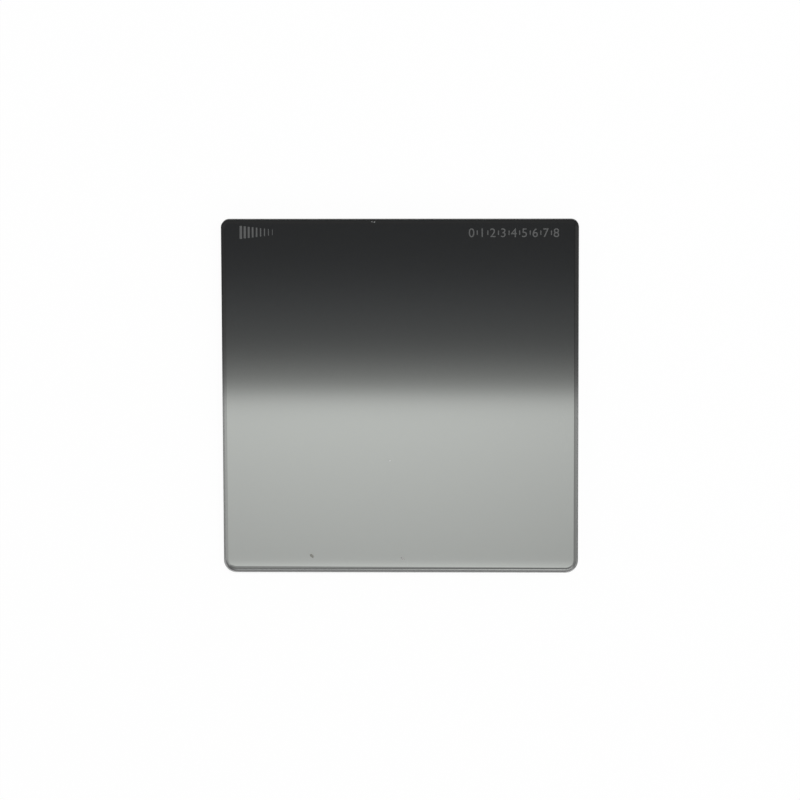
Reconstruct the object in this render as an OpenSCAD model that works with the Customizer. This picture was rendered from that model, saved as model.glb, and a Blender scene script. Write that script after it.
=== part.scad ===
// Square graduated filter: a single plate of polished glass with rounded
// corners and a ground bevel round both faces. It lies on its rear face,
// with the marked front face up. +Y runs toward the dark half, and the
// origin is the middle of the rear face.

/* [Plate] */
// Length of each side
side = 101.6; // [60:0.1:170]
// Thickness between the two polished faces
thickness = 4; // [2.5:0.1:6]
// Radius of the two corners of the dark end, seen from the front
dark_corner_r = 2.2; // [1.6:0.1:12]
// Radius of the two corners of the clear end
clear_corner_r = 3.6; // [1.6:0.1:12]

/* [Ground edge] */
// How far each bevel reaches in over its face
bevel_reach = 1.1; // [0.4:0.05:1.3]
// How far each bevel reaches along the edge wall
bevel_drop = 0.6; // [0.3:0.05:0.9]
// Radius that softens the arrises beside each bevel
arris_r = 0.2; // [0.1:0.01:0.25]

/* [Hidden] */

// Flats that stand in for each softened arris
arris_steps = 3;
// Distances from the middle of the plate to the corners' centres
dark_at = side / 2 - dark_corner_r;
clear_at = side / 2 - clear_corner_r;
// Fineness that the points of the section settle on
micron = 0.001;

$fn = 96;

function unit(v) = v / norm(v);

function turned(v, angle) = [
    v.x * cos(angle) - v.y * sin(angle),
    v.x * sin(angle) + v.y * cos(angle)
];

function settled(p) = [for (value = p) round(value / micron) * micron];

// Arc that rounds the point b of an outline that runs anticlockwise a, b, c
function arris(a, b, c) =
    let (
        leg_in = unit(b - a),
        leg_out = unit(c - b),
        turn = acos(leg_in * leg_out),
        spoke = [leg_in.y, -leg_in.x] * arris_r,
        centre = b - leg_in * arris_r * tan(turn / 2) - spoke
    )
    [for (i = [0 : arris_steps])
        settled(centre + turned(spoke, turn * i / arris_steps))];

// Section of the ground edge, from the rear face round to the front face.
// X is 0 on the edge wall, and the glass lies on its negative side.
ground_edge =
    let (
        rear_face = [-side / 2, 0],
        rear_inner = [-bevel_reach, 0],
        rear_outer = [0, bevel_drop],
        front_outer = [0, thickness - bevel_drop],
        front_inner = [-bevel_reach, thickness],
        front_face = [-side / 2, thickness]
    )
    concat(
        arris(rear_face, rear_inner, rear_outer),
        arris(rear_inner, rear_outer, front_outer),
        arris(rear_outer, front_outer, front_inner),
        arris(front_outer, front_inner, front_face)
    );

// The same section with its edge wall moved out to reach
function edge_at(reach) = [for (p = ground_edge) [reach + p.x, p.y]];

// Stretch of the plate from its left edge to its right edge, between the corners
module side_span() {
    edge = edge_at(side / 2);
    last = len(edge) - 1;
    opposite = [for (i = [0 : last]) [-edge[last - i].x, edge[last - i].y]];

    translate([0, (dark_at - clear_at) / 2, 0])
        rotate([90, 0, 0])
            linear_extrude(height = dark_at + clear_at, center = true)
                polygon(concat(edge, opposite));
}

// Stretch from the middle of the plate out to the edge at +X, between two corners
module end_span(corner_at) {
    rotate([90, 0, 0])
        linear_extrude(height = 2 * corner_at, center = true)
            polygon(concat([[0, 0]], edge_at(side / 2), [[0, thickness]]));
}

// Quarter turn of the ground edge, which rounds one corner
module corner_turn(corner_r) {
    rotate_extrude(angle = 90)
        polygon(concat([[0, 0]], edge_at(corner_r), [[0, thickness]]));
}

module filter_plate() {
    color("dimgray")
        union() {
            side_span();

            rotate([0, 0, 90]) end_span(dark_at);
            rotate([0, 0, -90]) end_span(clear_at);

            translate([dark_at, dark_at, 0]) corner_turn(dark_corner_r);
            translate([-dark_at, dark_at, 0]) rotate([0, 0, 90]) corner_turn(dark_corner_r);
            translate([-clear_at, -clear_at, 0]) rotate([0, 0, 180]) corner_turn(clear_corner_r);
            translate([clear_at, -clear_at, 0]) rotate([0, 0, 270]) corner_turn(clear_corner_r);
        }
}

filter_plate();
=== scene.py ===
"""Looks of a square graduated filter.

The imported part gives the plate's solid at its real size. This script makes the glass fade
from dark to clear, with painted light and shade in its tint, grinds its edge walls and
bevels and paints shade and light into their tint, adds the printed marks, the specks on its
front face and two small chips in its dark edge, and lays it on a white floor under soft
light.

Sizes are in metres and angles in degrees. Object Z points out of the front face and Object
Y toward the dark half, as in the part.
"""

import logging
import math
import random
from dataclasses import dataclass, field
from enum import Enum

import bmesh
import bpy
from mathutils import Euler, Matrix, Vector


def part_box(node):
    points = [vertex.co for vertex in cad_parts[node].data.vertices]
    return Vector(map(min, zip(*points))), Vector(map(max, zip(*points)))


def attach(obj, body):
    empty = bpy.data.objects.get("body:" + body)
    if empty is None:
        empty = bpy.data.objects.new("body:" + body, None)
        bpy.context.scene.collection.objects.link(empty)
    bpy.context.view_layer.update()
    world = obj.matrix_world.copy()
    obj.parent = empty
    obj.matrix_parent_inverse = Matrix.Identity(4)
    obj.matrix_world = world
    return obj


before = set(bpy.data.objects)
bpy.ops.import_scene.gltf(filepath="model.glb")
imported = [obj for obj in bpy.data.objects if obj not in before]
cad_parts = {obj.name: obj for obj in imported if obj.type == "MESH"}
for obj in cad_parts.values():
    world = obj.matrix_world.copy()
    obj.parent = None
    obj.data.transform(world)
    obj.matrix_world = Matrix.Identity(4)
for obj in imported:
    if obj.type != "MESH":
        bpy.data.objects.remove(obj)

Socket = bpy.types.NodeSocket
Colour = tuple[float, float, float]
Pair = tuple[float, float]

MM = 0.001
BODY = "root"
PLATE_NODE = "filter_plate"

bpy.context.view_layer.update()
log = logging.getLogger("filter")


class NodeSheet:
    """A node tree with short ways to add nodes, do sums and join sockets."""

    def __init__(self, tree: bpy.types.NodeTree) -> None:
        """Keep the tree that the nodes go into.

        Args:
            tree: The shader or geometry tree to fill.
        """
        self.tree = tree

    def add(self, kind: str, **settings: object) -> bpy.types.Node:
        """Add a node and set its own settings.

        Args:
            kind: The node's type name.
            settings: Values for the node's properties, by name.

        Returns:
            The new node.
        """
        node = self.tree.nodes.new(kind)
        for name, value in settings.items():
            setattr(node, name, value)
        return node

    def join(self, value: Socket | float | int | Colour | str, socket: Socket) -> None:
        """Link a socket to an input, or set the input to a plain value.

        Args:
            value: The socket or the plain value that is read.
            socket: The input that takes it.
        """
        if isinstance(value, bpy.types.NodeSocket):
            self.tree.links.new(value, socket)
        else:
            socket.default_value = value

    def sum(self, operation: str, *values: Socket | float) -> Socket:
        """Do one sum on numbers.

        Args:
            operation: The name of a Math node's operation.
            values: The numbers or sockets that it works on, in order.

        Returns:
            The socket that holds the answer.
        """
        node = self.add("ShaderNodeMath", operation=operation)
        for value, socket in zip(values, node.inputs):
            self.join(value, socket)
        return node.outputs[0]

    def rest(self, share: Socket) -> Socket:
        """Give what a share leaves of 1."""
        return self.sum("SUBTRACT", 1.0, share)

    def blend(self, share: Socket, first: Socket | Colour, second: Socket | Colour) -> Socket:
        """Mix two colours.

        Args:
            share: How much there is of the second colour, from 0 to 1.
            first: The colour at a share of 0.
            second: The colour at a share of 1.

        Returns:
            The socket that holds the mixed colour.
        """
        node = self.add("ShaderNodeMix", data_type="RGBA")
        colours = [s for s in node.inputs if s.type == "RGBA"]
        self.join(share, node.inputs[0])
        for value, socket in zip((first, second), colours):
            self.join(value if isinstance(value, bpy.types.NodeSocket) else (*value, 1.0), socket)
        return next(s for s in node.outputs if s.type == "RGBA")

    def tinted(self, share: Socket, tint: Socket) -> Socket:
        """Multiply a colour by a share of light.

        Args:
            share: The share of light, from 0 to 1.
            tint: The colour.

        Returns:
            The socket that holds the darkened colour.
        """
        node = self.add("ShaderNodeVectorMath", operation="SCALE")
        self.join(tint, node.inputs[0])
        self.join(share, node.inputs["Scale"])
        return node.outputs[0]

    def rise(self, value: Socket, low: float, high: float) -> Socket:
        """Go smoothly from 0 where a value is low to 1 where it is high.

        Args:
            value: The number that is looked at.
            low: Where the rise starts.
            high: Where it ends.

        Returns:
            The socket that holds the share, from 0 to 1.
        """
        node = self.add("ShaderNodeMapRange", interpolation_type="SMOOTHSTEP")
        for name, given in (("Value", value), ("From Min", low), ("From Max", high)):
            self.join(given, node.inputs[name])
        return node.outputs["Result"]

    def grain(self, place: Socket, size: float, detail: float) -> Socket:
        """Make smooth noise from 0 to 1 whose blobs are about one size across.

        Args:
            place: The coordinates that it reads.
            size: How far apart the blobs are, in metres.
            detail: How many finer layers lie over them.

        Returns:
            The socket that holds the noise.
        """
        node = self.add("ShaderNodeTexNoise")
        self.join(place, node.inputs["Vector"])
        self.join(1.0 / size, node.inputs["Scale"])
        self.join(detail, node.inputs["Detail"])
        return node.outputs["Fac"]


def blank_sheet(owner: bpy.types.Material | bpy.types.World) -> NodeSheet:
    """Give a material or the world an empty node tree.

    Args:
        owner: What the tree belongs to.

    Returns:
        The sheet that fills the tree.
    """
    owner.use_nodes = True
    owner.node_tree.nodes.clear()
    return NodeSheet(owner.node_tree)


def new_material(name: str) -> tuple[bpy.types.Material, NodeSheet, bpy.types.Node]:
    """Start a material that holds one Principled shader.

    Args:
        name: The material's name.

    Returns:
        The material, its sheet of nodes and the shader.
    """
    material = bpy.data.materials.new(name)
    sheet = blank_sheet(material)
    shader = sheet.add("ShaderNodeBsdfPrincipled")
    output = sheet.add("ShaderNodeOutputMaterial")
    sheet.join(shader.outputs["BSDF"], output.inputs["Surface"])
    return material, sheet, shader


def add_object(name: str, data: bpy.types.ID) -> bpy.types.Object:
    """Make an object and link it into the scene.

    Args:
        name: The object's name.
        data: Its mesh, camera or light.

    Returns:
        The object, which sits at the origin.
    """
    made = bpy.data.objects.new(name, data)
    bpy.context.scene.collection.objects.link(made)
    return made


def settle(piece: bpy.types.Object) -> None:
    """Let a finished piece ride on the plate and report it.

    Args:
        piece: A mesh whose object sits at the origin.
    """
    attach(piece, BODY)
    log.info("%s: %d faces", piece.name, len(piece.data.polygons))


@dataclass(frozen=True)
class PlateShape:
    """The plate's sizes, read from the frame or repeated from the part's source.

    The corner radius turns from the clear end's to the dark end's in a band across the
    middle of the plate, whose half width is a share of the half side.
    """

    half_side: float
    thickness: float
    dark_corner_radius: float = 2.2 * MM
    clear_corner_radius: float = 3.6 * MM
    bevel_reach: float = 1.1 * MM
    bevel_drop: float = 0.6 * MM
    middle_band: float = 0.1

    @classmethod
    def from_frame(cls) -> "PlateShape":
        """Read the plate's width and thickness from its node."""
        _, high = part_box(PLATE_NODE)
        return cls(half_side=high[0], thickness=high[2])


@dataclass(frozen=True)
class DensityStep:
    """A soft rise in the glass's density, on the way from the clear side to the dark side."""

    amount: float
    middle: float
    spread: float

    def density(self, sheet: NodeSheet, height: Socket) -> Socket:
        """Give this step's share of the density at a height along the plate.

        Args:
            sheet: The material's nodes.
            height: Object Y.

        Returns:
            The density that this step adds there.
        """
        reach = sheet.sum("DIVIDE", sheet.sum("SUBTRACT", self.middle, height), self.spread)
        grown = sheet.sum("ADD", sheet.sum("EXPONENT", reach), 1.0)
        return sheet.sum("DIVIDE", self.amount, grown)


@dataclass(frozen=True)
class PlatePoint:
    """Where a shaded point lies on the plate, as sockets of the material."""

    place: Socket
    x: Socket
    y: Socket
    z: Socket
    inset: Socket

    @classmethod
    def read(cls, sheet: NodeSheet, shape: PlateShape) -> "PlatePoint":
        """Read the point's object coordinates and measure how far in it lies.

        Args:
            sheet: The material's nodes.
            shape: The plate's sizes.

        Returns:
            The point, whose inset runs in from the rounded square outline.
        """
        place = sheet.add("ShaderNodeTexCoord").outputs["Object"]
        axes = sheet.add("ShaderNodeSeparateXYZ")
        sheet.join(place, axes.inputs["Vector"])
        x, y, z = (axes.outputs[name] for name in "XYZ")
        band = shape.middle_band * shape.half_side
        dark_half = sheet.rise(y, -band, band)
        tighter = shape.dark_corner_radius - shape.clear_corner_radius
        radius = sheet.sum("MULTIPLY_ADD", dark_half, tighter, shape.clear_corner_radius)
        straight = sheet.sum("SUBTRACT", shape.half_side, radius)
        past_x = sheet.sum("SUBTRACT", sheet.sum("ABSOLUTE", x), straight)
        past_y = sheet.sum("SUBTRACT", sheet.sum("ABSOLUTE", y), straight)
        out_x = sheet.sum("MAXIMUM", past_x, 0.0)
        out_y = sheet.sum("MAXIMUM", past_y, 0.0)
        squares = sheet.sum("MULTIPLY_ADD", out_x, out_x, sheet.sum("MULTIPLY", out_y, out_y))
        flat_part = sheet.sum("MINIMUM", sheet.sum("MAXIMUM", past_x, past_y), 0.0)
        out = sheet.sum("ADD", sheet.sum("SQRT", squares), flat_part)
        return cls(place, x, y, z, inset=sheet.sum("SUBTRACT", radius, out))


@dataclass(frozen=True)
class GroundEdge:
    """How the bevels and edge walls were ground, and how each zone passes light.

    The rim is the outer part of a bevel, beside the wall. The tints are partly the grey of
    the ground glass and partly painted shade and light. The left side's bevels carry a
    painted shade against the dark end's, and the right side's a darker painted shade. Past
    the rim, the corners of the clear end carry a painted shade too, and the left corner's
    rim is left clear as painted light. The rear bevel carries a painted shade along the
    clear end, darkest in a line, which stands in for the shaded floor under the plate's
    edge. The rear bevel reaches further in there, by an overrun that slants with X, and the
    right side's bevels reach further in by a plain one.

    The edges of the rim and of the painted rear shade say how far in from the outline one
    zone starts to turn into the next, and where it has. A corner starts and is full at the
    given sums of the distances toward its two sides. The face's edge is in shares of the
    bevel's reach.
    A zone beside a side starts so many reaches in, and is full so many reaches further out.
    The arris blur is a share of the bevel's drop.
    """

    wall_tint: Colour = (0.85, 0.86, 0.85)
    front_tint: Colour = (0.80, 0.81, 0.80)
    # Painted shade by side: the left bevels darker than the ends', the right bevels darker still.
    painted_left_shade_tint: Colour = (0.54, 0.548, 0.54)
    painted_right_shade_tint: Colour = (0.22, 0.225, 0.22)
    rim_tint: Colour = (0.70, 0.71, 0.70)
    rear_tint: Colour = (0.50, 0.51, 0.50)
    # Painted shade along the clear end's rear bevel, darkest in a line, for the shaded floor under
    # the plate's edge.
    painted_rear_shade_tint: Colour = (0.03, 0.031, 0.03)
    inner_painted_rear_shade_tint: Colour = (0.22, 0.225, 0.22)
    # Painted shade past the rim at the clear end's corners, and painted light on the left corner's
    # rim, which is left clear.
    painted_left_corner_shade_tint: Colour = (0.025, 0.0256, 0.025)
    left_corner_rim_painted_light_tint: Colour = (1.0, 1.0, 1.0)
    painted_right_corner_shade_tint: Colour = (0.10, 0.103, 0.10)
    rim_edge: Pair = (0.42 * MM, 0.64 * MM)
    painted_rear_shade_edge: Pair = (0.72 * MM, 1.1 * MM)
    left_painted_rear_shade_edge: Pair = (0.52 * MM, 0.68 * MM)
    corner_edge: Pair = (96.6 * MM, 98.1 * MM)
    face_edge: Pair = (0.96, 1.02)
    side_zone: Pair = (1.6, 0.4)
    end_zone: Pair = (1.9, 0.6)
    arris_blur: float = 0.1
    right_overrun: float = 0.15 * MM
    rear_overrun: float = 0.17 * MM
    rear_slant: float = -0.0036
    bevel_roughness: float = 0.10
    wall_roughness: float = 0.7
    grit_spread: float = 0.5

    def share(self, sheet: NodeSheet, point: PlatePoint, shape: PlateShape) -> Socket:
        """Tell the ground edge from the polished faces.

        Args:
            sheet: The material's nodes.
            point: The shaded point.
            shape: The plate's sizes.

        Returns:
            A share that is 1 on the ground edge and 0 on the faces.
        """
        rear = sheet.rest(self._above_rear(sheet, point, shape))
        # The ground zone reaches further in on the clear end's rear bevel and on the right side,
        # which widens their painted shade.
        painted_rear_shade = sheet.sum("MULTIPLY", rear, self._clear_end(sheet, point, shape))
        slanted = sheet.sum("MULTIPLY_ADD", point.x, self.rear_slant, self.rear_overrun)
        on_rear = sheet.sum("MULTIPLY", painted_rear_shade, slanted)
        on_right = sheet.sum("MULTIPLY", self._right(sheet, point, shape), self.right_overrun)
        inset = sheet.sum("SUBTRACT", point.inset, sheet.sum("MAXIMUM", on_rear, on_right))
        start, end = (shape.bevel_reach * part for part in self.face_edge)
        return sheet.rest(sheet.rise(inset, start, end))

    def tint(self, sheet: NodeSheet, point: PlatePoint, shape: PlateShape) -> Socket:
        """Colour the zones of the ground edge.

        Args:
            sheet: The material's nodes.
            point: The shaded point.
            shape: The plate's sizes.

        Returns:
            The tint, from the rear bevel over the wall to the front bevel, with painted shade and
            light in its zones.
        """
        past_rim = sheet.rise(point.inset, *self.rim_edge)
        # The clear end's corners carry painted shade past the rim, and the left corner's rim painted
        # light.
        left_corner = self._corner(sheet, point, side=-1.0)
        right_corner = self._corner(sheet, point, side=1.0)
        # Painted shade by side, on the left and the right bevels.
        near_left = sheet.blend(self._left(sheet, point, shape), self.front_tint, self.painted_left_shade_tint)
        sides = sheet.blend(self._right(sheet, point, shape), near_left, self.painted_right_shade_tint)
        near_right = sheet.blend(right_corner, sides, self.painted_right_corner_shade_tint)
        front_inner = sheet.blend(left_corner, near_right, self.painted_left_corner_shade_tint)
        rim = sheet.blend(left_corner, self.rim_tint, self.left_corner_rim_painted_light_tint)
        front = sheet.blend(past_rim, rim, front_inner)
        # Painted shade along the clear end's rear bevel, left off the outer part of the left corner.
        past_painted_rear_shade = sheet.rise(point.inset, *self.painted_rear_shade_edge)
        painted_rear_shade = sheet.blend(past_painted_rear_shade, self.painted_rear_shade_tint, self.inner_painted_rear_shade_tint)
        freed = sheet.rest(sheet.rise(point.inset, *self.left_painted_rear_shade_edge))
        kept = sheet.rest(sheet.sum("MULTIPLY", freed, left_corner))
        painted_rear_shaded = sheet.sum("MULTIPLY", self._clear_end(sheet, point, shape), kept)
        rear_inner = sheet.blend(painted_rear_shaded, self.rear_tint, painted_rear_shade)
        rear = sheet.blend(past_rim, self.rear_tint, rear_inner)
        upper = sheet.blend(self._above_wall(sheet, point, shape), self.wall_tint, front)
        return sheet.blend(self._above_rear(sheet, point, shape), rear, upper)

    def roughness(
        self, sheet: NodeSheet, point: PlatePoint, shape: PlateShape, grit: Socket
    ) -> Socket:
        """Make the wall rougher than the bevels, and both a little uneven.

        Args:
            sheet: The material's nodes.
            point: The shaded point.
            shape: The plate's sizes.
            grit: Fine noise.

        Returns:
            The roughness of the ground edge.
        """
        below_front = sheet.rest(self._above_wall(sheet, point, shape))
        on_wall = sheet.sum("MULTIPLY", self._above_rear(sheet, point, shape), below_front)
        extra = self.wall_roughness - self.bevel_roughness
        worked = sheet.sum("MULTIPLY_ADD", on_wall, extra, self.bevel_roughness)
        least = 1.0 - 0.5 * self.grit_spread
        uneven = sheet.sum("MULTIPLY_ADD", grit, self.grit_spread, least)
        return sheet.sum("MULTIPLY", worked, uneven)

    def _above(self, sheet: NodeSheet, point: PlatePoint, shape: PlateShape, arris: float) -> Socket:
        """Give 0 below an arris and 1 above it.

        Args:
            sheet: The material's nodes.
            point: The shaded point.
            shape: The plate's sizes.
            arris: The arris's height over the rear face.

        Returns:
            The share, which rises over the arris.
        """
        blur = shape.bevel_drop * self.arris_blur
        return sheet.rise(point.z, arris - blur, arris + blur)

    def _above_rear(self, sheet: NodeSheet, point: PlatePoint, shape: PlateShape) -> Socket:
        """Give 0 on the rear bevel and 1 above it."""
        return self._above(sheet, point, shape, shape.bevel_drop)

    def _above_wall(self, sheet: NodeSheet, point: PlatePoint, shape: PlateShape) -> Socket:
        """Give 0 up to the top of the wall and 1 on the front bevel."""
        return self._above(sheet, point, shape, shape.thickness - shape.bevel_drop)

    def _beside(self, sheet: NodeSheet, out: Socket, shape: PlateShape, zone: Pair) -> Socket:
        """Give 1 beside one side of the plate and 0 further in.

        Args:
            sheet: The material's nodes.
            out: How far the point lies from the middle, toward that side.
            shape: The plate's sizes.
            zone: Where the zone starts and how soon it is full, in reaches of the bevel.

        Returns:
            The side's share.
        """
        start, blur = (shape.bevel_reach * reaches for reaches in zone)
        inner = shape.half_side - start
        return sheet.rise(out, inner, inner + blur)

    def _left(self, sheet: NodeSheet, point: PlatePoint, shape: PlateShape) -> Socket:
        """Give 1 on the left side's bevels and 0 on the others."""
        return self._beside(sheet, sheet.sum("MULTIPLY", point.x, -1.0), shape, self.side_zone)

    def _right(self, sheet: NodeSheet, point: PlatePoint, shape: PlateShape) -> Socket:
        """Give 1 on the right side's bevels and 0 on the others."""
        return self._beside(sheet, point.x, shape, self.side_zone)

    def _clear_end(self, sheet: NodeSheet, point: PlatePoint, shape: PlateShape) -> Socket:
        """Give 1 along the clear end's bevels and 0 on the others."""
        return self._beside(sheet, sheet.sum("MULTIPLY", point.y, -1.0), shape, self.end_zone)

    def _corner(self, sheet: NodeSheet, point: PlatePoint, side: float) -> Socket:
        """Give 1 at a corner of the clear end and 0 away from it.

        Args:
            sheet: The material's nodes.
            point: The shaded point.
            side: 1 for the right corner and -1 for the left one.

        Returns:
            The corner's share.
        """
        out = sheet.sum("SUBTRACT", sheet.sum("MULTIPLY", point.x, side), point.y)
        return sheet.rise(out, *self.corner_edge)


@dataclass(frozen=True)
class GradedGlass:
    """Neutral glass that fades along Object Y, with polished faces and a ground edge.

    The densities are about twice the glass's own, as they also hold the plate's painted
    shadow on the floor beneath it. The density changes by the two slopes for each metre
    along Y and X, and by the bow for each square metre out from the middle line. The slope
    up is a painted shade that darkens the glass toward the clear end, as the light falls off.
    The painted edge light leaves the density lower along the clear end's edge, for the floor
    beneath lit through the edge. The tint turns from the clear side's to the dark side's
    between two heights on the plate.
    """

    refraction: float = 1.52
    # Painted shadow: the densities are about twice the glass's own, for the plate's shadow on the
    # floor beneath it.
    clear_density: float = 0.1236
    # Painted shade: the slope up darkens the glass toward the clear end, as the light falls off.
    slope_up: float = -2.9
    slope_across: float = 0.23
    bow: float = 9.4
    # Painted light: less density along the clear end's edge, for the floor beneath lit through the
    # edge.
    painted_edge_light: DensityStep = DensityStep(amount=0.145, middle=-48.4 * MM, spread=0.6 * MM)
    soft_edge: DensityStep = DensityStep(amount=0.443, middle=1.73 * MM, spread=2.17 * MM)
    shoulder: DensityStep = DensityStep(amount=0.525, middle=10.54 * MM, spread=3.73 * MM)
    deepening: DensityStep = DensityStep(amount=0.846, middle=31.88 * MM, spread=7.65 * MM)
    clear_tint: Colour = (0.963, 1.0, 0.957)
    dark_tint: Colour = (0.97, 1.03, 1.075)
    tint_turn: Pair = (0.0 * MM, 45.0 * MM)
    edge: GroundEdge = GroundEdge()
    smudge_size: float = 28.0 * MM
    smudge_detail: float = 4.0
    smudge_contrast: float = 3.0
    smudge_roughness: float = 0.05
    grit_size: float = 0.22 * MM
    grit_detail: float = 2.0
    grit_height: float = 0.001 * MM

    def material(self, shape: PlateShape) -> bpy.types.Material:
        """Make the glass.

        Args:
            shape: The plate's sizes, which place the ground edge.

        Returns:
            The material.
        """
        material, sheet, shader = new_material("graded_glass")
        point = PlatePoint.read(sheet, shape)
        ground = self.edge.share(sheet, point, shape)
        turned = sheet.rise(point.y, *self.tint_turn)
        face_tint = sheet.blend(turned, self.clear_tint, self.dark_tint)
        tint = sheet.blend(ground, face_tint, self.edge.tint(sheet, point, shape))
        sheet.join(sheet.tinted(self._passed(sheet, point), tint), shader.inputs["Base Color"])
        grit = sheet.grain(point.place, self.grit_size, self.grit_detail)
        clouds = sheet.grain(point.place, self.smudge_size, self.smudge_detail)
        smudges = sheet.sum("POWER", clouds, self.smudge_contrast)
        wiped = sheet.sum("MULTIPLY", smudges, self.smudge_roughness)
        worked = self.edge.roughness(sheet, point, shape, grit)
        rougher = sheet.sum("SUBTRACT", worked, wiped)
        sheet.join(sheet.sum("MULTIPLY_ADD", rougher, ground, wiped), shader.inputs["Roughness"])
        bump = sheet.add("ShaderNodeBump")
        sheet.join(self.grit_height, bump.inputs["Distance"])
        sheet.join(sheet.sum("MULTIPLY", grit, ground), bump.inputs["Height"])
        sheet.join(bump.outputs["Normal"], shader.inputs["Normal"])
        shader.inputs["IOR"].default_value = self.refraction
        shader.inputs["Transmission Weight"].default_value = 1.0
        return material

    def _passed(self, sheet: NodeSheet, point: PlatePoint) -> Socket:
        """Work out the share of light that the glass lets through.

        Args:
            sheet: The material's nodes.
            point: The shaded point, along whose Y the density grows.

        Returns:
            The share of light, from 0 to 1.
        """
        density = sheet.sum("MULTIPLY_ADD", point.y, self.slope_up, self.clear_density)
        density = sheet.sum("MULTIPLY_ADD", point.x, self.slope_across, density)
        outward = sheet.sum("MULTIPLY", point.x, point.x)
        density = sheet.sum("MULTIPLY_ADD", outward, self.bow, density)
        for step in (self.painted_edge_light, self.soft_edge, self.shoulder, self.deepening):
            density = sheet.sum("ADD", density, step.density(sheet, point.y))
        return sheet.sum("POWER", 10.0, sheet.sum("MULTIPLY", density, -1.0))


@dataclass(frozen=True)
class MatteFinish:
    """A dull surface whose colour and roughness vary a little, such as ink or dirt."""

    name: str
    colour: Colour
    worn_colour: Colour
    roughness: float
    patch_size: float
    patch_detail: float = 3.0
    roughness_spread: float = 0.2

    def material(self) -> bpy.types.Material:
        """Make the finish.

        Returns:
            The material.
        """
        material, sheet, shader = new_material(self.name)
        place = sheet.add("ShaderNodeTexCoord").outputs["Object"]
        patches = sheet.grain(place, self.patch_size, self.patch_detail)
        sheet.join(sheet.blend(patches, self.colour, self.worn_colour), shader.inputs["Base Color"])
        least = self.roughness - 0.5 * self.roughness_spread
        uneven = sheet.sum("MULTIPLY_ADD", patches, self.roughness_spread, least)
        sheet.join(uneven, shader.inputs["Roughness"])
        return material


MARK_INK = MatteFinish(
    name="mark_ink",
    colour=(0.115, 0.117, 0.117),
    worn_colour=(0.083, 0.085, 0.085),
    roughness=0.7,
    patch_size=0.3 * MM,
)
DARK_DIRT = MatteFinish(
    name="dark_dirt",
    colour=(0.18, 0.18, 0.163),
    worn_colour=(0.275, 0.275, 0.25),
    roughness=0.8,
    patch_size=0.4 * MM,
)
FAINT_DIRT = MatteFinish(
    name="faint_dirt",
    colour=(0.35, 0.35, 0.34),
    worn_colour=(0.385, 0.385, 0.375),
    roughness=0.8,
    patch_size=0.4 * MM,
)
CHIP_SCAR = MatteFinish(
    name="chip_scar",
    colour=(0.14, 0.144, 0.144),
    worn_colour=(0.24, 0.245, 0.245),
    roughness=0.5,
    patch_size=0.2 * MM,
)
PALE_DUST = MatteFinish(
    name="pale_dust",
    colour=(0.60, 0.61, 0.61),
    worn_colour=(0.67, 0.67, 0.67),
    roughness=0.9,
    patch_size=0.3 * MM,
)


class SpeckFinish(Enum):
    """The finish of a speck."""

    DARK = DARK_DIRT
    FAINT = FAINT_DIRT
    PALE = PALE_DUST
    CHIP = CHIP_SCAR


@dataclass
class FilterPlate:
    """The plate itself, which keeps its solid from the frame."""

    shape: PlateShape
    glass: GradedGlass = GradedGlass()

    def dress(self) -> None:
        """Give the plate's node its glass."""
        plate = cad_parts[PLATE_NODE]
        plate.data.materials.clear()
        plate.data.materials.append(self.glass.material(self.shape))
        log.info("%s: %d faces, dressed as glass", plate.name, len(plate.data.polygons))


@dataclass
class Speck:
    """A small irregular fleck that lies on the front face or on a bevel.

    Its profile gives each ring of the dome as shares of the full size and height. A fleck
    on a bevel leans, and sinks below the level of the front face.
    """

    name: str
    place: Pair
    length: float
    width: float
    turn: float
    finish: SpeckFinish
    seed: int
    lean: float = 0.0
    sink: float = 0.0
    rim_points: int = 18
    rough_rim: float = 0.22
    height: float = 0.05 * MM
    profile: tuple[Pair, ...] = ((1.0, 0.0), (0.86, 0.6), (0.45, 0.95))

    def build(self, face_height: float) -> bpy.types.Object:
        """Make the fleck as one closed, low dome with an uneven rim.

        Args:
            face_height: Object Z of the front face.

        Returns:
            The piece, with its place in its mesh.
        """
        shuffle = random.Random(self.seed)
        rim = [1.0 + self.rough_rim * shuffle.uniform(-1.0, 1.0) for _ in range(self.rim_points)]
        mesh = bmesh.new()
        rings = [self._ring(mesh, rim, size, rise) for size, rise in self.profile]
        for lower, upper in zip(rings, rings[1:]):
            for i in range(self.rim_points):
                j = (i + 1) % self.rim_points
                mesh.faces.new((lower[i], lower[j], upper[j], upper[i]))
        mesh.faces.new(rings[-1])
        mesh.faces.new(list(reversed(rings[0])))
        bmesh.ops.recalc_face_normals(mesh, faces=mesh.faces)
        place = Matrix.Translation((*self.place, face_height - self.sink))
        turn = Euler((math.radians(self.lean), 0.0, math.radians(self.turn)), "XYZ")
        mesh.transform(place @ turn.to_matrix().to_4x4())
        data = bpy.data.meshes.new(self.name)
        mesh.to_mesh(data)
        mesh.free()
        for polygon in data.polygons:
            polygon.use_smooth = True
        data.materials.append(self.finish.value.material())
        return add_object(self.name, data)

    def _ring(
        self, mesh: bmesh.types.BMesh, rim: list[float], size: float, rise: float
    ) -> list[bmesh.types.BMVert]:
        """Add one ring of the dome.

        Args:
            mesh: The mesh that it goes into.
            rim: How far out each point of the rim reaches, near 1.
            size: The ring's share of the full length and width.
            rise: Its share of the full height.

        Returns:
            The ring's points in order.
        """
        ring = []
        for i, reach in enumerate(rim):
            angle = math.tau * i / len(rim)
            x = 0.5 * self.length * size * reach * math.cos(angle)
            y = 0.5 * self.width * size * reach * math.sin(angle)
            ring.append(mesh.verts.new((x, y, self.height * rise)))
        return ring


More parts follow.
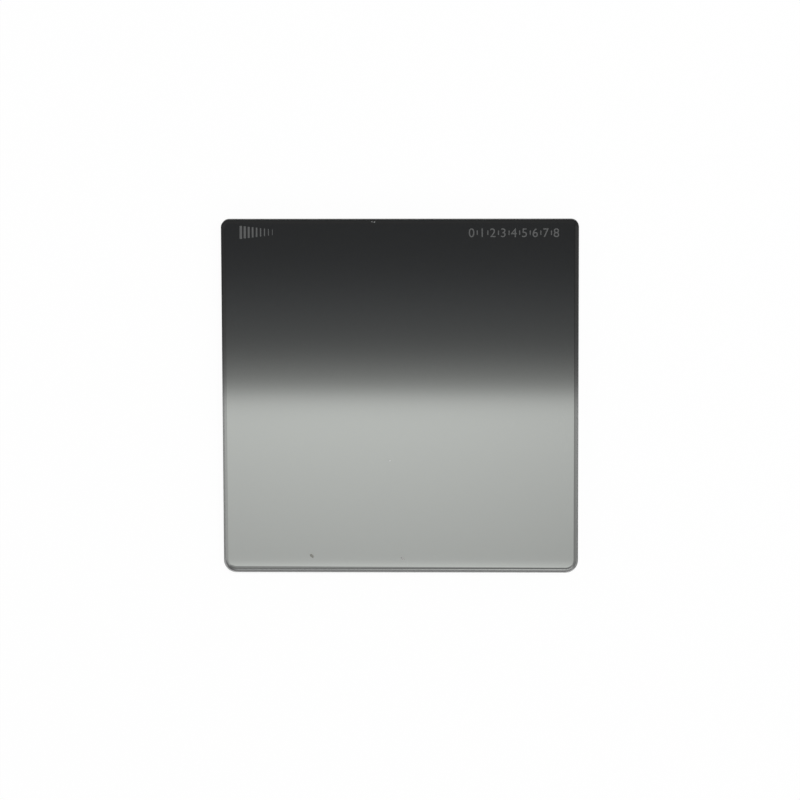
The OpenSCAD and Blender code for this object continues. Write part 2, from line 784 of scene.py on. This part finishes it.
@dataclass
class FaceSpecks:
    """The dirt and dust on the front face and the small chips in the dark edge."""

    shape: PlateShape
    specks: list[Speck] = field(
        default_factory=lambda: [
            Speck(
                "dirt_fleck", (-25.5 * MM, -45.9 * MM), length=1.35 * MM, width=0.85 * MM,
                turn=-50.0, finish=SpeckFinish.DARK, seed=3,
            ),
            Speck(
                "faint_fleck", (0.5 * MM, -46.65 * MM), length=0.95 * MM, width=0.66 * MM,
                turn=-35.0, finish=SpeckFinish.FAINT, seed=5,
            ),
            Speck(
                "pale_dust_grain", (-3.05 * MM, -18.3 * MM), length=0.42 * MM, width=0.38 * MM,
                turn=20.0, finish=SpeckFinish.PALE, seed=7,
            ),
            Speck(
                "edge_chip", (-7.2 * MM, 50.1 * MM), length=0.7 * MM, width=0.4 * MM,
                turn=20.0, finish=SpeckFinish.CHIP, seed=9, lean=-28.6, sink=0.23 * MM,
            ),
            Speck(
                "edge_nick", (-7.85 * MM, 50.2 * MM), length=0.5 * MM, width=0.3 * MM,
                turn=-12.0, finish=SpeckFinish.CHIP, seed=11, lean=-28.6, sink=0.29 * MM,
            ),
        ]
    )

    def build(self) -> None:
        """Make every speck and settle it on the plate."""
        for speck in self.specks:
            settle(speck.build(self.shape.thickness))


class ShapeInput(Enum):
    """The kinds of input that a geometry tree offers."""

    WHOLE = "NodeSocketInt"
    NUMBER = "NodeSocketFloat"
    WORDS = "NodeSocketString"
    FINISH = "NodeSocketMaterial"


class MarkTree:
    """A geometry tree that draws flat outlines and raises them into thin closed marks.

    Each corner of a stroke has so many fillet points, and points within the merge distance
    of each other become one.
    """

    fillet_points = 3
    merge_distance = 0.001 * MM

    def __init__(self, name: str) -> None:
        """Start an empty tree with one geometry output.

        Args:
            name: The tree's name.
        """
        self.tree = bpy.data.node_groups.new(name, "GeometryNodeTree")
        self.tree.interface.new_socket("Geometry", in_out="OUTPUT", socket_type="NodeSocketGeometry")
        self.sheet = NodeSheet(self.tree)
        self.inputs = self.sheet.add("NodeGroupInput")
        self.output = self.sheet.add("NodeGroupOutput")
        self.values: dict[str, object] = {}

    def take(self, name: str, kind: ShapeInput, value: object) -> Socket:
        """Add a named input.

        Args:
            name: What the input is.
            kind: The kind of value that it takes.
            value: What the finished piece sets it to.

        Returns:
            The socket that the other nodes read.
        """
        made = self.tree.interface.new_socket(name, in_out="INPUT", socket_type=kind.value)
        self.values[made.identifier] = value
        return self.inputs.outputs[name]

    def stroke(self, width: Socket, height: Socket, round_off: Socket) -> Socket:
        """Draw one upright stroke with rounded corners.

        Args:
            width: The stroke's width.
            height: Its height.
            round_off: The radius of its corners.

        Returns:
            The stroke as a closed curve.
        """
        outline = self.sheet.add("GeometryNodeCurvePrimitiveQuadrilateral")
        self.sheet.join(width, outline.inputs["Width"])
        self.sheet.join(height, outline.inputs["Height"])
        soft = self.sheet.add("GeometryNodeFilletCurve", mode="POLY")
        self.sheet.join(outline.outputs["Curve"], soft.inputs["Curve"])
        self.sheet.join(self.fillet_points, soft.inputs["Count"])
        self.sheet.join(round_off, soft.inputs["Radius"])
        return soft.outputs["Curve"]

    def row(self, count: Socket, pitch: Socket) -> Socket:
        """Lay out points in a row along X, centred on the origin.

        Args:
            count: How many points there are.
            pitch: The distance from one to the next.

        Returns:
            The row of points.
        """
        line = self.sheet.add("GeometryNodeMeshLine", mode="OFFSET")
        step = self.sheet.add("ShaderNodeCombineXYZ")
        start = self.sheet.add("ShaderNodeCombineXYZ")
        self.sheet.join(pitch, step.inputs["X"])
        spans = self.sheet.sum("SUBTRACT", count, 1.0)
        half = self.sheet.sum("MULTIPLY", self.sheet.sum("MULTIPLY", spans, pitch), -0.5)
        self.sheet.join(half, start.inputs["X"])
        self.sheet.join(count, line.inputs["Count"])
        self.sheet.join(start.outputs["Vector"], line.inputs["Start Location"])
        self.sheet.join(step.outputs["Vector"], line.inputs["Offset"])
        return line.outputs["Mesh"]

    def finish(self, outlines: Socket, raised: Socket, finish: Socket) -> None:
        """Fill the outlines, raise them into closed solids and end the tree.

        Args:
            outlines: Instances of flat closed curves.
            raised: How thick the marks are.
            finish: The material that they take.
        """
        sheet = self.sheet
        real = sheet.add("GeometryNodeRealizeInstances")
        sheet.join(outlines, real.inputs["Geometry"])
        filled = sheet.add("GeometryNodeFillCurve")
        sheet.join(real.outputs["Geometry"], filled.inputs["Curve"])
        top = sheet.add("GeometryNodeExtrudeMesh")
        sheet.join(filled.outputs["Mesh"], top.inputs["Mesh"])
        sheet.join(raised, top.inputs["Offset Scale"])
        top.inputs["Individual"].default_value = False
        bottom = sheet.add("GeometryNodeFlipFaces")
        sheet.join(filled.outputs["Mesh"], bottom.inputs["Mesh"])
        both = sheet.add("GeometryNodeJoinGeometry")
        sheet.join(top.outputs["Mesh"], both.inputs["Geometry"])
        sheet.join(bottom.outputs["Mesh"], both.inputs["Geometry"])
        closed = sheet.add("GeometryNodeMergeByDistance")
        sheet.join(both.outputs["Geometry"], closed.inputs["Geometry"])
        sheet.join(self.merge_distance, closed.inputs["Distance"])
        inked = sheet.add("GeometryNodeSetMaterial")
        sheet.join(closed.outputs["Geometry"], inked.inputs["Geometry"])
        sheet.join(finish, inked.inputs["Material"])
        sheet.join(inked.outputs["Geometry"], self.output.inputs["Geometry"])

    def bake(self, name: str, place: Matrix) -> bpy.types.Object:
        """Run the tree and keep its result as a plain mesh.

        Args:
            name: The piece's name.
            place: Where the mark goes on the plate.

        Returns:
            The piece, with its place in its mesh.
        """
        piece = add_object(name, bpy.data.meshes.new(name))
        modifier = piece.modifiers.new(name, "NODES")
        modifier.node_group = self.tree
        for identifier, value in self.values.items():
            modifier[identifier] = value
        evaluated = piece.evaluated_get(bpy.context.evaluated_depsgraph_get())
        data = bpy.data.meshes.new_from_object(evaluated)
        piece.modifiers.remove(modifier)
        piece.data = data
        data.name = name
        data.transform(place)
        return piece


@dataclass
class StrokeWedge:
    """A generic mark on the left: a row of upright strokes that thin out and shorten.

    The rounding is the corners' radius, as a share of the narrowest stroke's width.
    """

    middle: Pair = (-40.6 * MM, 47.25 * MM)
    strokes: int = 9
    pitch: float = 1.12 * MM
    widest: float = 0.7 * MM
    narrowest: float = 0.16 * MM
    tallest: float = 3.7 * MM
    shortest: float = 1.6 * MM
    rounding: float = 0.45
    raised: float = 0.02 * MM

    def build(self, shape: PlateShape) -> None:
        """Make the strokes and settle them on the front face.

        Args:
            shape: The plate's sizes.
        """
        maker = MarkTree("stroke_wedge_tree")
        sheet = maker.sheet
        strokes = maker.take("Strokes", ShapeInput.WHOLE, self.strokes)
        pitch = maker.take("Pitch", ShapeInput.NUMBER, self.pitch)
        widest = maker.take("Widest Stroke", ShapeInput.NUMBER, self.widest)
        narrowest = maker.take("Narrowest Stroke", ShapeInput.NUMBER, self.narrowest)
        tallest = maker.take("Tallest Stroke", ShapeInput.NUMBER, self.tallest)
        shortest = maker.take("Shortest Stroke", ShapeInput.NUMBER, self.shortest)
        raised = maker.take("Raised", ShapeInput.NUMBER, self.raised)
        ink = maker.take("Ink", ShapeInput.FINISH, MARK_INK.material())
        stroke = maker.stroke(widest, tallest, sheet.sum("MULTIPLY", narrowest, self.rounding))
        placed = sheet.add("GeometryNodeInstanceOnPoints")
        sheet.join(maker.row(strokes, pitch), placed.inputs["Points"])
        sheet.join(stroke, placed.inputs["Instance"])
        index = sheet.add("GeometryNodeInputIndex").outputs["Index"]
        along = sheet.sum("DIVIDE", index, sheet.sum("SUBTRACT", strokes, 1.0))
        size = sheet.add("ShaderNodeCombineXYZ")
        sheet.join(self._shrink(sheet, along, narrowest, widest), size.inputs["X"])
        sheet.join(self._shrink(sheet, along, shortest, tallest), size.inputs["Y"])
        sheet.join(1.0, size.inputs["Z"])
        sheet.join(size.outputs["Vector"], placed.inputs["Scale"])
        maker.finish(placed.outputs["Instances"], raised, ink)
        place = Matrix.Translation((*self.middle, shape.thickness))
        settle(maker.bake("stroke_wedge_mark", place))

    def _shrink(self, sheet: NodeSheet, along: Socket, least: Socket, most: Socket) -> Socket:
        """Give a stroke's size as a share of the first stroke's, by its place in the row."""
        lost = sheet.rest(sheet.sum("DIVIDE", least, most))
        return sheet.rest(sheet.sum("MULTIPLY", along, lost))


@dataclass
class NumberedScale:
    """A generic mark on the right: a row of plain numbers with a tick between each pair.

    The digit's drop and half width bring the middle of its type onto its place in the row,
    and the tick's rounding is a share of its width.
    """

    middle: Pair = (32.5 * MM, 47.1 * MM)
    numbers: str = "012345678"
    pitch: float = 3.0 * MM
    digit_size: float = 3.6 * MM
    digit_drop: float = 1.25 * MM
    digit_half_width: float = 1.01 * MM
    tick_width: float = 0.3 * MM
    tick_height: float = 1.3 * MM
    tick_rounding: float = 0.4
    raised: float = 0.02 * MM

    def build(self, shape: PlateShape) -> None:
        """Make the scale and settle it on the front face.

        Args:
            shape: The plate's sizes.
        """
        maker = MarkTree("numbered_scale_tree")
        sheet = maker.sheet
        numbers = maker.take("Numbers", ShapeInput.WORDS, self.numbers)
        count = maker.take("Number Count", ShapeInput.WHOLE, len(self.numbers))
        pitch = maker.take("Pitch", ShapeInput.NUMBER, self.pitch)
        size = maker.take("Digit Size", ShapeInput.NUMBER, self.digit_size)
        tick_width = maker.take("Tick Width", ShapeInput.NUMBER, self.tick_width)
        tick_height = maker.take("Tick Height", ShapeInput.NUMBER, self.tick_height)
        raised = maker.take("Raised", ShapeInput.NUMBER, self.raised)
        ink = maker.take("Ink", ShapeInput.FINISH, MARK_INK.material())
        ticks = sheet.add("GeometryNodeInstanceOnPoints")
        gaps = sheet.sum("SUBTRACT", count, 1.0)
        sheet.join(maker.row(gaps, pitch), ticks.inputs["Points"])
        round_off = sheet.sum("MULTIPLY", tick_width, self.tick_rounding)
        sheet.join(maker.stroke(tick_width, tick_height, round_off), ticks.inputs["Instance"])
        both = sheet.add("GeometryNodeJoinGeometry")
        sheet.join(self._digits(sheet, numbers, count, pitch, size), both.inputs["Geometry"])
        sheet.join(ticks.outputs["Instances"], both.inputs["Geometry"])
        maker.finish(both.outputs["Geometry"], raised, ink)
        place = Matrix.Translation((*self.middle, shape.thickness))
        settle(maker.bake("numbered_scale_mark", place))

    def _digits(
        self, sheet: NodeSheet, numbers: Socket, count: Socket, pitch: Socket, size: Socket
    ) -> Socket:
        """Set the digits one pitch apart, whatever their own widths.

        Args:
            sheet: The tree's nodes.
            numbers: The digits in order.
            count: How many there are.
            pitch: The distance from one digit to the next.
            size: The height of the type.

        Returns:
            The digits' outlines, as instances.
        """
        type_row = sheet.add("GeometryNodeStringToCurves")
        sheet.join(numbers, type_row.inputs["String"])
        sheet.join(size, type_row.inputs["Size"])
        spaced = sheet.add("GeometryNodeSetPosition")
        index = sheet.add("GeometryNodeInputIndex").outputs["Index"]
        half_row = sheet.sum("MULTIPLY", sheet.sum("SUBTRACT", count, 1.0), 0.5)
        offset = sheet.sum("MULTIPLY", sheet.sum("SUBTRACT", index, half_row), pitch)
        position = sheet.add("ShaderNodeCombineXYZ")
        sheet.join(sheet.sum("SUBTRACT", offset, self.digit_half_width), position.inputs["X"])
        sheet.join(-self.digit_drop, position.inputs["Y"])
        sheet.join(type_row.outputs["Curve Instances"], spaced.inputs["Geometry"])
        sheet.join(position.outputs["Vector"], spaced.inputs["Position"])
        return spaced.outputs["Geometry"]


@dataclass(frozen=True)
class PhotoCamera:
    """A camera that looks down on the plate as the photograph's did.

    Its lens and sensor are in millimetres.
    """

    toward_dark_side: float = 7.86
    toward_right: float = 1.56
    roll: float = 0.19
    distance: float = 1.100
    aim: Pair = (-0.16 * MM, -1.29 * MM)
    lens: float = 173.0
    sensor: float = 36.0
    nearest: float = 0.01
    farthest: float = 50.0

    def build(self) -> None:
        """Make the camera and set the scene to it."""
        data = bpy.data.cameras.new("camera")
        data.lens = self.lens
        data.sensor_width = self.sensor
        data.clip_start, data.clip_end = self.nearest, self.farthest
        camera = add_object("camera", data)
        tilt = Matrix.Rotation(math.radians(self.toward_dark_side), 4, "X")
        swing = Matrix.Rotation(math.radians(-self.toward_right), 4, "Y")
        level = Matrix.Rotation(math.radians(self.roll), 4, "Z")
        facing = (level @ tilt @ swing).inverted()
        camera.matrix_world = facing @ Matrix.Translation((*self.aim, self.distance))
        bpy.context.scene.camera = camera


@dataclass(frozen=True)
class SoftLamp:
    """A soft box that faces the middle of the plate, and isn't seen in glass or through it."""

    name: str
    azimuth: float
    elevation: float
    distance: float
    width: float
    height: float
    power: float

    def build(self) -> None:
        """Make the lamp."""
        data = bpy.data.lights.new(self.name, "AREA")
        data.energy = self.power
        data.shape = "RECTANGLE"
        data.size = self.width
        data.size_y = self.height
        lamp = add_object(self.name, data)
        turn, lift = math.radians(self.azimuth), math.radians(self.elevation)
        level = math.cos(lift)
        away = Vector((math.cos(turn) * level, math.sin(turn) * level, math.sin(lift)))
        lamp.location = away * self.distance
        lamp.visible_glossy = False
        lamp.visible_transmission = False
        lamp.rotation_mode = "QUATERNION"
        lamp.rotation_quaternion = away.to_track_quat("Z", "Y")


@dataclass(frozen=True)
class SoftWindow:
    """A bright patch low in the sky, with soft sides, that the bevels mirror.

    The foot and the head say between which sines of elevation its lower and upper edges
    fade. A patch of negative brightness is a dark flag, which takes light from the sky.
    """

    azimuth: float
    half_width: float
    fade: float
    brightness: float
    foot: Pair = (0.24, 0.34)
    head: Pair = (0.50, 0.62)

    def glow(self, sheet: NodeSheet, azimuth: Socket, height: Socket) -> Socket:
        """Give the patch's brightness in one direction of the sky.

        Args:
            sheet: The sky's nodes.
            azimuth: The direction's turn from X toward Y, in radians from -pi to pi.
            height: The sine of its elevation.

        Returns:
            The brightness that the patch adds there.
        """
        off = sheet.sum("ABSOLUTE", sheet.sum("SUBTRACT", azimuth, math.radians(self.azimuth)))
        inner = math.radians(self.half_width - self.fade)
        outer = math.radians(self.half_width + self.fade)
        across = sheet.rest(sheet.rise(off, inner, outer))
        above_foot = sheet.rise(height, *self.foot)
        below_head = sheet.rest(sheet.rise(height, *self.head))
        upright = sheet.sum("MULTIPLY", above_foot, below_head)
        return sheet.sum("MULTIPLY", sheet.sum("MULTIPLY", across, upright), self.brightness)


@dataclass
class Studio:
    """The white floor, the sky with its soft windows and one dark flag, and the top lamp.

    Dusk gives the sines of elevation between which the sky turns from the horizon's level
    to the level overhead.
    """

    floor_size: float = 20.0
    floor_gap: float = 0.05 * MM
    floor_colour: Colour = (0.95, 0.95, 0.95)
    floor_glow: float = 0.95
    horizon: float = 1.0
    overhead: float = 0.24
    dusk: Pair = (0.05, 0.75)
    lamps: tuple[SoftLamp, ...] = (
        SoftLamp(
            "top_lamp", azimuth=45.0, elevation=72.0, distance=1.5,
            width=0.8, height=0.8, power=12.3,
        ),
    )
    windows: tuple[SoftWindow, ...] = (
        SoftWindow(azimuth=-135.0, half_width=24.0, fade=14.0, brightness=0.65),
        SoftWindow(azimuth=-101.0, half_width=14.0, fade=8.0, brightness=0.8),
        SoftWindow(azimuth=-66.0, half_width=16.0, fade=10.0, brightness=3.2),
        SoftWindow(azimuth=-9.0, half_width=18.0, fade=10.0, brightness=0.22, head=(0.62, 0.74)),
        SoftWindow(azimuth=-172.0, half_width=16.0, fade=8.0, brightness=-0.16, head=(0.62, 0.74)),
    )

    def build(self) -> None:
        """Make the floor, the sky and the lamps."""
        self._floor()
        self._sky()
        for lamp in self.lamps:
            lamp.build()
        bpy.context.scene.view_settings.view_transform = "Standard"

    def _floor(self) -> None:
        """Lay a plain white floor just under the plate, which keeps its shadow."""
        half = self.floor_size / 2
        corners = [(-half, -half), (half, -half), (half, half), (-half, half)]
        data = bpy.data.meshes.new("floor")
        data.from_pydata([(x, y, -self.floor_gap) for x, y in corners], [], [(0, 1, 2, 3)])
        floor = add_object("floor", data)
        data.materials.append(self._floor_material())

    def _floor_material(self) -> bpy.types.Material:
        """Make the floor white to the eye, and pure white through or off the glass.

        Returns:
            The material, which still takes the plate's shadow.
        """
        material = bpy.data.materials.new("white_floor")
        sheet = blank_sheet(material)
        matte = sheet.add("ShaderNodeBsdfDiffuse")
        matte.inputs["Color"].default_value = (*self.floor_colour, 1.0)
        glow = sheet.add("ShaderNodeEmission")
        rays = sheet.add("ShaderNodeLightPath").outputs
        seen = sheet.sum("MULTIPLY", rays["Is Camera Ray"], self.floor_glow)
        through = sheet.sum("MAXIMUM", rays["Is Glossy Ray"], rays["Is Transmission Ray"])
        mix = sheet.add("ShaderNodeMixShader")
        sheet.join(sheet.sum("MAXIMUM", seen, through), mix.inputs["Fac"])
        sheet.join(matte.outputs["BSDF"], mix.inputs[1])
        sheet.join(glow.outputs["Emission"], mix.inputs[2])
        output = sheet.add("ShaderNodeOutputMaterial")
        sheet.join(mix.outputs["Shader"], output.inputs["Surface"])
        return material

    def _sky(self) -> None:
        """Light the scene from all round, white at the horizon and grey overhead."""
        world = bpy.data.worlds.new("studio_sky")
        bpy.context.scene.world = world
        sheet = blank_sheet(world)
        direction = sheet.add("ShaderNodeTexCoord").outputs["Generated"]
        axes = sheet.add("ShaderNodeSeparateXYZ")
        sheet.join(direction, axes.inputs["Vector"])
        height = sheet.rise(axes.outputs["Z"], *self.dusk)
        level = sheet.sum("MULTIPLY_ADD", height, self.overhead - self.horizon, self.horizon)
        azimuth = sheet.sum("ARCTAN2", axes.outputs["Y"], axes.outputs["X"])
        for window in self.windows:
            level = sheet.sum("ADD", level, window.glow(sheet, azimuth, axes.outputs["Z"]))
        background = sheet.add("ShaderNodeBackground")
        background.inputs["Color"].default_value = (1.0, 1.0, 1.0, 1.0)
        sheet.join(level, background.inputs["Strength"])
        output = sheet.add("ShaderNodeOutputWorld")
        sheet.join(background.outputs["Background"], output.inputs["Surface"])


def main() -> None:
    """Build the camera, the dressed plate, its marks and specks, and the studio."""
    logging.basicConfig(level=logging.INFO, format="%(name)s: %(message)s")
    PhotoCamera().build()
    shape = PlateShape.from_frame()
    FilterPlate(shape).dress()
    StrokeWedge().build(shape)
    NumberedScale().build(shape)
    FaceSpecks(shape).build()
    Studio().build()


if __name__ == "__main__":
    main()
